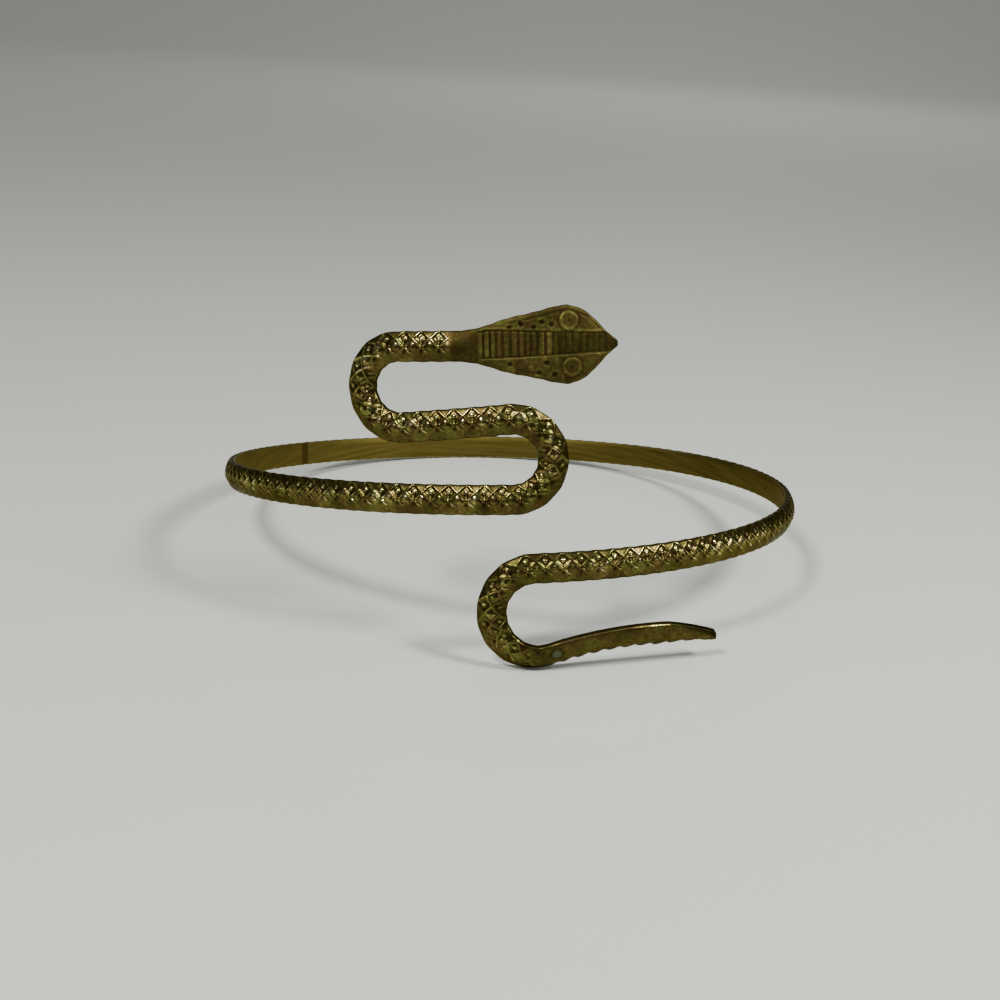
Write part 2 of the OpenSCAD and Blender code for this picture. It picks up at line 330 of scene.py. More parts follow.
# %% Heights of the relief, in millimetres
PIT_DEPTH = 0.17  # hollow in each outer scale
PIT_WALL = 0.9  # share of the way to its middle over which it deepens
PIT_END = 0.14  # share of half the strip's width over which it ends at the strip's edge
PEARL_R = 0.27
MIDDLE_H = 0.18  # rise of a middle scale from its ridges to its middle
CREASE = 0.05  # depth of the crease, and of the middle scale below its ridges
CREASE_REACH = 1.01 / CROSSING_CELLS  # one grid cell to each side
RIDGE_H = 0.08
RIDGE_REACH = 2.01 / CROSSING_CELLS  # two grid cells to each side
# The dots are tiny real bumps, painted bright as highlights, only on the side that faces up.
DOT_H, DOT_AT, DOT_R = 0.04, 0.28, 0.24  # bright dots beside the middle of a middle scale
# The corner is a small real dip, darkened further as painted shade.
CORNER_H, CORNER_AT, CORNER_R = 0.08, 0.5, 0.36  # dark hollow corner beside each crossing
LOW_CORNER = 0.2  # how far nearer to the middle that corner lies on the side that faces down
# The streak is raised a little and also painted bright as a highlight.
GLINT_H = 0.17  # streak on one ridge of each crossing, on the side that faces down
GLINT_FROM, GLINT_TO = 0.1, 0.8  # its ends, as shares of the way from the middle line to the outer crossings
GLINT_RISE, GLINT_FALL = 0.15, 0.2  # over which shares it begins and ends
LOW_WEAR = 0.65  # share of the height that is rubbed away on that side
print("relief from", -PIT_DEPTH, "to", round(RIDGE_H + MIDDLE_H - CREASE, 2), "mm")

# %% How tarnished each part of a scale is, from 0 to 1, with painted shade and painted highlights among the values
MIDDLE_TARNISH = 0.2
CREASE_TARNISH = 0.2
PIT_TARNISH = 0.42
PEARL_BRIGHT = 0.55
RIM_TARNISH = 0.6  # plain strip outside the outer ridges
RIDGE_BRIGHT = 0.55  # share of the tarnish that is rubbed off a ridge
# The side that faces down gets an even, darker colour: tarnish with painted shade.
LOW_TARNISH_AND_SHADE, LOW_RIDGE_BRIGHT = 0.56, 0.1  # the side that faces down, and its ridges
# Painted highlight on the dots.
DOT_PAINTED_HIGHLIGHT = 0.3
# Painted shade in the corners.
CORNER_PAINTED_SHADE = 0.5
# Painted highlight on the glints.
GLINT_PAINTED_HIGHLIGHT = 0.65
WEAR_BRIGHT = 0.4  # by how much high relief is brighter than low
CLEANEST = 0.02
print("tarnish", MIDDLE_TARNISH, "on the middle scales,", PIT_TARNISH, "in the outer ones")


# %% How much of each part of the relief a point has
def scale_parts(d, k):
    """Each part's share at ways d and shares k of half the width, with how worn and how low the place is."""
    number, off, along, across = in_scale(d, k)
    off_mm, across_mm = off * PITCH, across * CROSSING_MM
    inside = np.minimum(across - along, 2 - along - across)
    outer = inside > 0
    part = SimpleNamespace(low=low_side(d, k))
    part.middle, part.rim = across < along - ON_RIDGE, across > 2 - along + ON_RIDGE
    part.worn = worn_at(number, k, part.middle)
    part.pearl = bowl(np.hypot(off_mm, across_mm - CROSSING_MM), PEARL_R) * outer
    part.pit = np.clip(inside / PIT_WALL, 0, 1) * smooth((1 - np.abs(k)) / PIT_END) * outer
    part.roof = along - across
    part.crease = tent(across, CREASE_REACH) * np.clip(part.roof * 4, 0, 1)
    part.ridge = tent(np.abs(inside), RIDGE_REACH) * (across < 2 - along + ON_RIDGE)
    part.dot = tent(np.hypot((np.abs(off) - 0.5) * PITCH, across_mm - DOT_AT), DOT_R) * (1 - part.low)
    part.corner = tent(np.hypot(off_mm, across_mm - CORNER_AT + LOW_CORNER * part.low), CORNER_R) * outer
    streak = smooth((across - GLINT_FROM) / GLINT_RISE) * smooth((GLINT_TO - across) / GLINT_FALL)
    part.glint = part.ridge * streak * (off * k < 0) * part.low * part.worn
    return part


part = scale_parts(*np.meshgrid(np.linspace(10, 20, 50), np.linspace(-1, 1, 50)))
print("share of middle scales", part.middle.mean().round(2), "and of plain rim", part.rim.mean().round(2))


# %% Height of the scales, and their tarnish with painted shade and highlights
def scale_height(part):
    """Millimetres above the plain strip."""
    roof = np.where(part.middle, MIDDLE_H * part.roof - CREASE, 0)
    height = PIT_DEPTH * (part.pearl - part.pit) + roof - CREASE * part.crease + RIDGE_H * part.ridge
    height = height * part.worn * (1 - LOW_WEAR * part.low)
    return height + DOT_H * part.dot - CORNER_H * part.corner + GLINT_H * part.glint


def scale_tarnish_and_shading(part):
    """Tarnish, with painted shade and painted highlights, from CLEANEST to 1."""
    # The dots are lightened as painted highlights.
    in_middle = MIDDLE_TARNISH + CREASE_TARNISH * part.crease - DOT_PAINTED_HIGHLIGHT * part.dot
    outside = np.where(part.rim, RIM_TARNISH, PIT_TARNISH - PEARL_BRIGHT * part.pearl)
    upper = np.where(part.middle, in_middle, outside) * (1 - RIDGE_BRIGHT * part.ridge)
    # The side that faces down is darkened evenly as painted shade.
    lower = LOW_TARNISH_AND_SHADE - LOW_RIDGE_BRIGHT * part.ridge
    tarnish = upper * (1 - part.low) + lower * part.low
    # Painted shade in the corners, and painted highlights on the glints.
    tarnish = tarnish + CORNER_PAINTED_SHADE * part.corner - GLINT_PAINTED_HIGHLIGHT * part.glint
    return np.clip(tarnish - WEAR_BRIGHT * (part.worn - WEAR_MIDDLE), CLEANEST, 1)


print("highest", scale_height(part).max().round(2), "mm, tarnish", scale_tarnish_and_shading(part).mean().round(2))

# %% Wear on the tail
TAIL_WORN = 0.88  # share of the relief that is gone on the tail's upper part
TAIL_FADE = 5  # length over which it goes, up to the tail's beginning
TEETH_BELOW, TEETH_FADE = -0.55, 0.4  # shares of half the width: relief stays below, and goes above within
TAIL_TARNISH = 0.6


def worn_scales(d, k):
    """Height of the scales, and their tarnish with painted shade and highlights, smoothed by wear on the
    tail.
    """
    part = scale_parts(d, k)
    tail_near = smooth((d - AT["tail"] + TAIL_FADE) / TAIL_FADE)
    gone = TAIL_WORN * tail_near * smooth((k - TEETH_BELOW) / TEETH_FADE)
    return scale_height(part) * (1 - gone), scale_tarnish_and_shading(part) * (1 - gone) + TAIL_TARNISH * gone


print("worn from", round(AT["tail"] - TAIL_FADE, 1), "mm on")

# %% [markdown]
# The head
#
# The head is a flat stamped plate: a hood with a sunk line inside its edge, a ladder of cross ribs
# down its middle, two ringed eyes, small punched spots and a few raised beads.
# The marks could be sculpted by hand. Short tables of where they lie, as shares of the head's length
# and width, give the same marks every time and follow the head if its size changes.

# %% Outline of the head
HOOD = np.array([
    # share of length, share of width
    (0.00, STRIP_W / HEAD_W),
    (0.11, 0.45),
    (0.27, 0.66),
    (0.43, 0.80),
    (0.55, 0.92),
    (0.61, 0.97),
    (0.68, 1.00),
    (0.74, 0.95),
    (0.80, 0.83),
    (0.85, 0.65),
    (0.89, 0.48),
    (0.92, 0.35),
    (0.97, 0.17),
    (1.00, 0.08),
])


def hood_half(x):
    return np.interp(x / HEAD_L, HOOD[:, 0], HOOD[:, 1]) * HEAD_W / 2


print("half the hood at the eyes", round(float(hood_half(0.7 * HEAD_L)), 2), "mm")

# %% Marks on the head
# share of length, share of half the width with the upper side positive
EYES = [(0.68, 0.60), (0.70, -0.57)]
SPOTS = [
    (0.31, 0.44),
    (0.38, 0.53),
    (0.46, 0.45),
    (0.51, 0.58),
    (0.57, 0.51),
    (0.31, -0.47),
    (0.49, -0.70),
    (0.54, -0.46),
    (0.59, -0.74),
]
BEADS = [
    (0.33, -0.60),
    (0.44, -0.58),
    (0.47, -0.80),
    (0.52, -0.36),
    (0.55, -0.80),
    (0.60, -0.38),
    (0.64, -0.82),
    (0.84, 0.30),
]


def nearest(x, y, marks):
    return np.min([np.hypot(x - a * HEAD_L, y - b * HEAD_W / 2) for a, b in marks], axis=0)


print(len(EYES), "eyes,", len(SPOTS), "spots,", len(BEADS), "beads")


# %% The ladder of ribs
LADDER_UPPER = (1.85, 0.70)  # half width at the neck above the middle, and what it loses by the snout
LADDER_LOWER = (1.47, 0.68)  # the same below the middle
LADDER_IN_HOOD = 0.74  # the most of the hood's half width that it takes
FIRST_RIB = 2.1
FINE_FROM, FINE_OVER = 9.5, 1.5  # where the ribs get lower towards the snout, and over which length
RIB_H, FINE_LOSS = 0.15, 0.09
RIB_SHIFT = 0.12  # how far ribs are set off their places, as a share of the pitch
RIB_SWAY = 1.7  # how fast that changes along the head, in radians per millimetre
RIB_FOOT, RIB_FLANK = 0.14, 0.4  # shares of half the pitch: the sunk line, and the way up from it
LADDER_FLOOR = 0.07  # depth of the ladder's floor
RIBS = 24
rib_wear = np.random.default_rng(5).uniform(0.6, 1.05, RIBS)


def ladder_half(x, y):
    way = x / HEAD_L
    upper, lower = [at_neck - loss * way for at_neck, loss in (LADDER_UPPER, LADDER_LOWER)]
    return np.minimum(np.where(y < 0, lower, upper), LADDER_IN_HOOD * hood_half(x))


def rib_height(x):
    """Ribs a pitch apart, a little unevenly set and worn, each with a sunk line before it."""
    place = (x - FIRST_RIB) / RIB_PITCH + RIB_SHIFT * np.sin(RIB_SWAY * x)
    from_line = np.abs(place % 1 - 0.5) * 2
    tall = RIB_H - FINE_LOSS * smooth((x - FINE_FROM) / FINE_OVER)
    tall = tall * rib_wear[np.clip(place.astype(int), 0, RIBS - 1)]
    return tall * smooth((from_line - RIB_FOOT) / RIB_FLANK)


print("ribs up to", round(float(rib_height(np.linspace(2, HEAD_L, 400)).max()), 2), "mm high")

# %% Lines, rings and pits of the head
# height, distance from the line or centre that it follows, reach to each side, all in millimetres
LIP = (0.06, 0.18, 0.22)  # outside the ladder's edge
GROOVE = (-0.10, 0.0, 0.16)  # on the ladder's edge
BORDER = (-0.05, 0.62, 0.2)  # inside the hood's edge
EYE_RING = (0.10, 0.86 * EYE_R, 0.20)
EYE_MOAT = (-0.07, 1.12 * EYE_R, 0.18)
PUPIL = (-0.08, 0.0, 0.26)
SPOT_RING = (0.04, 0.42, 0.16)
FIELD_H = 0.03  # the hood beside the ladder
SPOT_DEPTH, SPOT_R = 0.13, 0.33
BEAD_H, BEAD_R = 0.09, 0.3
EYE_FIELD = 1.3 * EYE_R  # nothing but the eye lies in this radius


def line(distance, height, at, reach):
    return height * tent(np.abs(distance - at), reach)


def mark_height(x, y):
    """Eyes, spots and beads."""
    eye, spot = nearest(x, y, EYES), nearest(x, y, SPOTS)
    eyes = line(eye, *EYE_RING) + line(eye, *EYE_MOAT) + line(eye, *PUPIL)
    spots = line(spot, *SPOT_RING) - SPOT_DEPTH * bowl(spot, SPOT_R)
    return np.where(eye < EYE_FIELD, eyes, spots + BEAD_H * bowl(nearest(x, y, BEADS), BEAD_R))


print("an eye's ring is", round(2 * EYE_RING[1], 1), "mm across and stands", EYE_RING[0], "mm up")

# %% Height and tarnish of the head
RELIEF_FROM, RELIEF_STEP = 1.7, 0.6  # where the relief begins, and over which length
SNOUT_FADE = 1.5  # length over which it ends at the snout
FIELD_FROM, BORDER_FROM = 3, 4.5  # where the raised field and the sunk line inside the edge begin
HEAD_TARNISH, HEAD_CLEANEST = 0.62, 0.34
TARNISH_H = 0.3  # height that takes the tarnish down by 1
NECK_TARNISH = 0.74  # the plain patch between the head and the scales


def head_relief(x, y):
    """Height in millimetres and tarnish, at x from the neck towards the snout and y up from the middle."""
    away, from_edge = np.abs(y) - ladder_half(x, y), hood_half(x) - np.abs(y)
    fade = smooth((x - RELIEF_FROM) / RELIEF_STEP) * smooth((HEAD_L - x) / SNOUT_FADE)
    off_eye = 1 - smooth((EYE_FIELD - nearest(x, y, EYES)) / 0.1)
    ladder = smooth(-away / 0.14) * (rib_height(x) - LADDER_FLOOR) + line(away, *GROOVE)
    field = FIELD_H * smooth(away / 0.2) * smooth((x - FIELD_FROM) / 2)
    border = line(from_edge, *BORDER) * smooth((x - BORDER_FROM) / 2)
    marks = mark_height(x, y) * smooth((away - 0.1) / 0.15)
    height = fade * (ladder + field + (line(away, *LIP) + border) * off_eye + marks)
    tarnish = np.clip(HEAD_TARNISH - height / TARNISH_H, HEAD_CLEANEST, 1)
    return height, tarnish * fade + NECK_TARNISH * (1 - fade)


print("middle of an eye", round(float(head_relief(EYES[0][0] * HEAD_L, EYES[0][1] * HEAD_W / 2)[0]), 2), "mm")

# %% Thickness under the relief
HEAD_CUT = 0.1  # how far the plate's face lies below its full thickness, so that the relief stays within it
HEAD_FALL = 0.25  # how much thinner the plate is at its edge
SWELL_L = 3  # length over which the neck's dome becomes the head's plate


def dome(k):
    return EDGE_T + (STRIP_T - EDGE_T) * (1 - k * k)


def head_base(x, y):
    k = np.clip(np.abs(y) / hood_half(x), 0, 1)
    swell = smooth(x / SWELL_L)
    return dome(k) * (1 - swell) + (HEAD_T - HEAD_CUT - HEAD_FALL * k ** 6) * swell


print("middle of the neck", dome(0), "mm, of the head", round(float(head_base(10, 0)), 2), "mm thick")

# %% [markdown]
# One mesh for the whole strip
#
# Every row of points goes once round the strip:
# over the face, down one edge, along the flat back and up the other edge.
# The head's rows hold more points than the band's, and a fan of triangles joins the two at the plain neck.
# A separate head would be easier to make, but the real one is the same strip, and a seam would show.
# Three numbers are kept at each point for the finish: how hollow and tarnished it is,
# with painted shade and painted highlights added in, how far along the strip it lies, and a patch number,
# above 0 in the grey-green patch at the foot of the tail's bend and below 0 in the nick in the back.

# %% One closed row after another
BACK_CELLS = 4
ROUNDING = 0.08  # of the back's two edges
EDGE_CUT = 0.02  # how far below the face each side begins
SHOULDER = 0.6  # share of the way up each side at which a row of points supports it
EDGE_TARNISH = 0.75
ON_BACK = -1.0  # how hollow the plain back counts, so that the finish can tell it apart


def ring_rows(d, k_face, upper, lower, face, tarnish):
    """Rows of points round the strip and their hollow numbers, from half widths upper and lower at ways d."""
    n = len(d)
    k_back = np.linspace(-1, 1, BACK_CELLS + 1)
    half_face, half_back = [np.where(k > 0, upper[:, None], lower[:, None]) for k in (k_face, k_back)]
    lower_side, upper_side = [np.repeat(half[:, None], 2, 1) for half in (-lower, upper)]
    y = [k_face * half_face, lower_side, k_back * (half_back - ROUNDING), upper_side]
    foot, top = np.full((n, 1), ROUNDING), face[:, :1] - EDGE_CUT
    shoulder = SHOULDER * top + (1 - SHOULDER) * foot
    h = [face, np.hstack([shoulder, foot]), np.zeros((n, BACK_CELLS + 1)), np.hstack([foot, shoulder])]
    edge_hollow = np.full((n, 2), EDGE_TARNISH)
    rows_hollow = np.hstack([tarnish, edge_hollow, np.full((n, BACK_CELLS + 1), ON_BACK), edge_hollow])
    y, h = np.hstack(y), np.hstack(h)
    return rested(wrapped(np.repeat(d[:, None], y.shape[1], 1), y, h)), rows_hollow


print("back of", BACK_CELLS, "cells, with edges rounded by", ROUNDING, "mm")

# %% Grid of the band
LEAD_ROWS = 9  # rows on the plain neck before the first scale
d_band = np.concatenate([
    np.linspace(0, PLAIN_L, LEAD_ROWS, endpoint=False),
    np.linspace(PLAIN_L, BAND_L, SCALES * CELLS_PER_SCALE + 1),
])
k_band = np.linspace(1, -1, 2 * HALF_CELLS + 1)
band_d, band_k = np.meshgrid(d_band, k_band, indexing="ij")
print("band grid", band_d.shape)

# %% Face of the band, with the plain neck before the first scale
BEGIN_BEFORE, BEGIN_OVER = 0.7, 0.8  # where the relief begins before the first scale, and over which length
scales_face, scales_tarnish_and_shading = worn_scales(band_d, band_k)
begun = smooth((band_d - PLAIN_L + BEGIN_BEFORE) / BEGIN_OVER)
band_face = dome(band_k) + scales_face * begun
band_tarnish_and_shading = scales_tarnish_and_shading * begun + NECK_TARNISH * (1 - begun)
print("thickest", round(float(band_face.max()), 2), "mm")

# %% [markdown]
# Stains, painted shade and dull places
#
# A spot of grey-green corrosion with a dark ring sits on the foot of the tail's bend.
# The hoop's sides are made darker and duller than the front as painted shade, the tail's bend is darker and
# duller too, and the back has a small nick.
# They could be painted on a picture of the strip, but a number at each point stays sharp without one.

# %% Grey-green patch on the foot of the tail's bend, with a dark ring
PATCH_AT, PATCH_UP = 0.7, 0.35  # millimetres past the bend, and share of half the width
PATCH_R, PATCH_FADE, PATCH_SHARE = 0.65, 0.3, 0.85  # radius, soft edge, and how much of the brass it hides
RING_R, RING_REACH, RING_DARK = 0.7, 0.25, 0.35
from_patch = np.hypot(band_d - AT["tail"] - PATCH_AT, (band_k - PATCH_UP) * STRIP_W / 2)
face_patch = PATCH_SHARE * smooth((PATCH_R - from_patch) / PATCH_FADE)
band_tarnish_and_shading += RING_DARK * tent(np.abs(from_patch - RING_R), RING_REACH)
print("points in the patch", int((face_patch > 0).sum()))

# %% Sides of the hoop darker and duller as painted shade, and a darker, duller tail bend
SIDE_FROM, SIDE_OVER = 0.8, 0.15  # where the sides begin and over which width, in shares of the radius
# How much darker the hoop's sides are painted, as shade, and how much darker the tail's bend is.
SIDE_PAINTED_SHADE, BEND_DARKER = 0.16, 0.1
OVERLAP = 1  # how far the bend's dullness and the tail's edges each reach past the tail's beginning
BEND_FADE = 3  # length over which each of them comes or goes
at_side = smooth((np.abs(np.sin(centre_line(band_d)[0] / FORMER_R)) - SIDE_FROM) / SIDE_OVER)
past_bend = smooth((AT["tail"] + OVERLAP - band_d) / BEND_FADE)
in_bend = smooth((band_d - AT["bend 3"]) / BEND_FADE) * past_bend
band_tarnish_and_shading = np.clip(band_tarnish_and_shading + SIDE_PAINTED_SHADE * at_side + BEND_DARKER * in_bend, CLEANEST, 1)
print("average tarnish", band_tarnish_and_shading.mean().round(2))

# %% Long edges of the band: a faint wave, deeper teeth below the tail, and above it a bright line, a worn edge painted brighter as a highlight
SCALLOP = 0.03  # how far a ridge's end stands out at the long edges
TEETH = 6  # how much deeper the wave is on the tail's lower edge
UPPER_SMOOTH = 0.8  # share of the wave that is gone on the tail's upper edge
EDGE_LIFT = 0.3  # share of the wave by which the face rises and falls at its edges
# The bright line is a worn edge, lightened further as a painted highlight.
LINE_WEAR_AND_HIGHLIGHT = 0.1  # of the bright line along the tail's upper edge
UNDER_LINE = 0.7  # tarnish just below that line
on_tail = smooth((d_band - AT["tail"] + OVERLAP) / BEND_FADE)
wave = np.cos(2 * np.pi * ((d_band - PLAIN_L) / PITCH - 0.5)) * SCALLOP * smooth(d_band / 2)
half_band = (STRIP_W + (TIP_W - STRIP_W) * np.clip(1 - (BAND_L - d_band) / TAPER_L, 0, 1)) / 2
upper_edge = half_band + wave * (1 - UPPER_SMOOTH * on_tail)
lower_edge = half_band + wave * (1 + (TEETH - 1) * on_tail)
band_face[:, 0] = band_face[:, -1] = EDGE_T + EDGE_LIFT * wave
for column, tarnish in enumerate((LINE_WEAR_AND_HIGHLIGHT, UNDER_LINE)):
    band_tarnish_and_shading[:, column] = band_tarnish_and_shading[:, column] * (1 - on_tail) + tarnish * on_tail
print("teeth", round(2 * TEETH * SCALLOP, 2), "mm from top to bottom")

# %% Rows of the band, with the nick in its back
NICK_AT, NICK_HALF = 172, 0.17  # way from the start of the hoop, and half its width
IN_NICK = -1.0  # the patch number there
band, band_hollow = ring_rows(d_band, k_band, upper_edge, lower_edge, band_face, band_tarnish_and_shading)
band_patch = np.zeros(band_hollow.shape)
band_patch[:, :face_patch.shape[1]] = face_patch
back_middle = 2 * HALF_CELLS + 3 + BACK_CELLS // 2
band_patch[:, back_middle] = IN_NICK * (np.abs(d_band - AT["hoop"] - NICK_AT) < NICK_HALF)
print("band rows", band.shape)

# %% Rows of the head
HEAD_STEP = 0.12  # from one row to the next
FINER = 3  # head points for each band point
EDGE_WAVE = 0.05  # how uneven the hood's edge is
EDGE_DROP = 0.08  # how far the face turns down at it
x_head = np.linspace(HEAD_L, HEAD_STEP, round(HEAD_L / HEAD_STEP))
k_head = np.linspace(1, -1, 2 * HALF_CELLS * FINER + 1)
head_x, head_k = np.meshgrid(x_head, k_head, indexing="ij")
head_y = -head_k * hood_half(head_x)
head_height, head_tarnish = head_relief(head_x, head_y)
unevenness = EDGE_WAVE * smooth(x_head / 4) * np.sin(2.3 * x_head) * np.sin(1.1 * x_head + 1)
half_head = hood_half(x_head) + unevenness
head_face = head_base(head_x, head_y) + head_height
head_face[:, 0] = head_face[:, -1] = head_base(x_head, half_head) - EDGE_DROP
head, head_hollow = ring_rows(-x_head, k_head, half_head, half_head, head_face, head_tarnish)
print("head rows", head.shape)

# %% [markdown]
# Faces
#
# Each four points of neighbouring rows make a face.
# Left whole, a face that a ridge crosses could be cut into triangles the wrong way, and the ridge
# would break into steps. So the band's faces are cut here, each along its own ridge.

# %% Faces between the rows
faces = []


def whole(row, column):
    """No quad of the head is cut."""
    return None


def ridge_way(row, column):
    """Whether the band's quad is cut along a rising ridge, or None on the edges and the back."""
    if column >= 2 * HALF_CELLS:
        return None
    count = (row - LEAD_ROWS + 0.5) / CELLS_PER_SCALE - 0.5
    past_crossing = count > math.floor(count + 0.5)
    near_middle = abs(HALF_CELLS - column - 0.5) < CROSSING_CELLS
    return (past_crossing == (column < HALF_CELLS)) == near_middle


def close_rows(first, count, size, cut):
    for row in range(count - 1):
        for column in range(size):
            a = first + row * size + column
            b = first + row * size + (column + 1) % size
            rising = cut(row, column)
            if rising is None:
                faces.append((a, a + size, b + size, b))
            elif rising:
                faces.extend([(a, a + size, b), (a + size, b + size, b)])
            else:
                faces.extend([(a, a + size, b + size), (a, b + size, b)])


head_size, band_size = head.shape[1], band.shape[1]
first_band = head.shape[0] * head_size
last_band = first_band + (band.shape[0] - 1) * band_size
close_rows(0, head.shape[0], head_size, whole)
close_rows(first_band, band.shape[0], band_size, ridge_way)
print("faces", len(faces))

# %% Join the head to the band and close both ends
last_head = first_band - head_size
for j in range(2 * HALF_CELLS):
    a, b = last_head + j * FINER, first_band + j
    for i in range(FINER):
        faces.append((a + i, b if i < FINER // 2 else b + 1, a + i + 1))
    faces.append((a + FINER // 2, b, b + 1))
edge_and_back = band_size - 2 * HALF_CELLS
for j in range(edge_and_back):
    a = last_head + head_size - edge_and_back + j
    a_next = last_head + (head_size - edge_and_back + j + 1) % head_size
    b = first_band + band_size - edge_and_back + j
    b_next = first_band + (band_size - edge_and_back + j + 1) % band_size
    faces.append((a, b, b_next, a_next))
faces.append(tuple(range(head_size)))
faces.append(tuple(last_band + j for j in reversed(range(band_size))))
print("faces", len(faces))

# %% [markdown]
# Setting it on the CAD model
#
# The cuff has to stand exactly where its CAD model stands, because the two share one frame.
# It could be placed by hand, but the CAD box gives its place to a hundredth of a millimetre:
# the fine mesh is moved as a whole until its outline's middle and its lowest point fall on that box's.
# Then it takes the node's place.

# %% Set the points down
points = np.vstack([head.reshape(-1, 3), band.reshape(-1, 3)]) * MM
lowest, highest = points.min(0), points.max(0)
cad_lowest, cad_highest = np.array(cad_box[0]), np.array(cad_box[1])
move = (cad_lowest + cad_highest - lowest - highest) / 2
move[2] = cad_lowest[2] - lowest[2]
points += move
print("moved by mm", (move / MM).round(2))

# %% Make the object
mesh = bpy.data.meshes.new("snake_strip")
mesh.from_pydata(points.tolist(), [], [tuple(reversed(face)) for face in faces])
POINT_VALUES = {
    "hollow": (head_hollow, band_hollow),
    "along": (np.repeat(-x_head, head_size), np.repeat(d_band, band_size)),
    "patch": (0 * head_hollow, band_patch),
}
for name, (on_head, on_band) in POINT_VALUES.items():
    values = np.concatenate([on_head.ravel(), on_band.ravel()]).astype(np.float32)
    mesh.attributes.new(name, "FLOAT", "POINT").data.foreach_set("value", values)
mesh.polygons.foreach_set("use_smooth", [True] * len(mesh.polygons))
mesh.update()
snake = bpy.data.objects.new("snake_strip", mesh)
bpy.context.scene.collection.objects.link(snake)
print("triangles", sum(len(p.vertices) - 2 for p in mesh.polygons))

# %% [markdown]
# Aged brass
#
# The strip is rolled brass, stamped in a die and left bare.
# Old brass is bright only where it is rubbed: on the ridges, the pearls and the rims.
# Elsewhere a thin brown and green tarnish darkens it, thickest in the hollows, and makes it olive and dull.
# It could be two materials with a mask between them. One colour ramp from rubbed to tarnished is simpler
# and has the tones in between, and the mesh says how tarnished each point is, painted shade and highlights
# included.


# %% Colour and node helpers
def linear(hex_colour):
    values = [int(hex_colour[i:i + 2], 16) / 255 for i in (1, 3, 5)]
    return [v / 12.92 if v <= 0.04045 else ((v + 0.055) / 1.055) ** 2.4 for v in values] + [1.0]


def add(tree, kind, settings=None, links=None, stops=()):
    """Adds a node with its properties or socket values, its links from other nodes, and a ramp's stops."""
    node = tree.nodes.new(kind)
    for key, value in (settings or {}).items():
        if isinstance(key, str) and key not in node.inputs:
            setattr(node, key, value)
        else:
            node.inputs[key].default_value = value
    for key, socket in (links or {}).items():
        tree.links.new(socket, node.inputs[key])
    for at, _ in stops[2:]:
        node.color_ramp.elements.new(at)
    for element, (at, colour) in zip(node.color_ramp.elements if stops else (), stops):
        element.position, element.color = at, linear(colour)
    return node


def per_metre(size_mm):
    """Scale of a pattern whose features are this many millimetres across."""
    return 1 / (size_mm * MM)


print("a 1 mm pattern has scale", per_metre(1))

# %% Where the strip is tarnished, and how it varies
CLOUD_MM = 3.846  # blotches of thicker tarnish
GRIT_MM = 0.4167  # grit left by age, really finer and drawn as coarse as it needs to show
VARIED = 0.7  # range of what each of the two adds or takes
brass = bpy.data.materials.new("aged_stamped_brass")
brass.use_nodes = True
tree = brass.node_tree
tree.nodes.clear()
place = add(tree, "ShaderNodeTexCoord").outputs["Object"]
# The hollow number holds tarnish, painted shade and painted highlights.
hollow_at = add(tree, "ShaderNodeAttribute", {"attribute_name": "hollow"}).outputs["Fac"]
along_at = add(tree, "ShaderNodeAttribute", {"attribute_name": "along"}).outputs["Fac"]
patch_at = add(tree, "ShaderNodeAttribute", {"attribute_name": "patch"}).outputs["Fac"]
cloud_look = {"Scale": per_metre(CLOUD_MM), "Detail": 4.0, "Roughness": 0.6}
cloud = add(tree, "ShaderNodeTexNoise", cloud_look, {"Vector": place}).outputs["Fac"]
grit_look = {"Scale": per_metre(GRIT_MM), "Detail": 3.0, "Roughness": 0.65}
grit = add(tree, "ShaderNodeTexNoise", grit_look, {"Vector": place}).outputs["Fac"]
about_zero = {"operation": "MULTIPLY_ADD", 1: VARIED, 2: -VARIED / 2}
uneven = add(tree, "ShaderNodeMath", about_zero, {0: cloud}).outputs[0]
gritty = add(tree, "ShaderNodeMath", about_zero, {0: grit}).outputs[0]
grime = add(tree, "ShaderNodeMath", {"operation": "ADD"}, {0: uneven, 1: gritty}).outputs[0]
clamped_sum = {"operation": "ADD", "use_clamp": True}
# Tarnish, painted shade and painted highlights from the mesh, with blotches and grit.
tarnished = add(tree, "ShaderNodeMath", clamped_sum, {0: grime, 1: hollow_at}).outputs[0]
print("nodes so far", len(tree.nodes))

# %% Colour of the face: rubbed brass, olive brass, brown tarnish
HUE_MM = 1.4286  # patches of greener and redder tarnish
BRASS_TONES = [
    # how tarnished, colour
    (0.0, "#dccf92"),
    (0.15, "#887e45"),
    (0.35, "#5d552b"),
    (0.65, "#423a1b"),
    (1.0, "#251f0e"),
]
VERDIGRIS = "#4d5343"
tones = add(tree, "ShaderNodeValToRGB", {}, {"Fac": tarnished}, BRASS_TONES).outputs["Color"]
hue_look = {"Scale": per_metre(HUE_MM), "Detail": 2.0}
hue_noise = add(tree, "ShaderNodeTexNoise", hue_look, {"Vector": place}).outputs["Fac"]
hue_range = {"From Min": 0.35, "From Max": 0.65, "To Min": 0.475, "To Max": 0.525}
hue = add(tree, "ShaderNodeMapRange", hue_range, {"Value": hue_noise}).outputs[0]
varied = add(tree, "ShaderNodeHueSaturation", {}, {"Hue": hue, "Color": tones}).outputs["Color"]
green = {"data_type": "RGBA", "clamp_factor": True, 7: linear(VERDIGRIS)}
face_colour = add(tree, "ShaderNodeMix", green, {0: patch_at, 6: varied}).outputs[2]
print("tones", [colour for _, colour in BRASS_TONES])

# %% [markdown]
# The plain inner face
#
# The strip's back was drawn smooth, and faint marks of that run along it.
# It is an even olive brown, darker towards the right, with a dark band across it and the nick.
# A picture could show the marks. Noise stretched along the strip gives the same streaks without one.

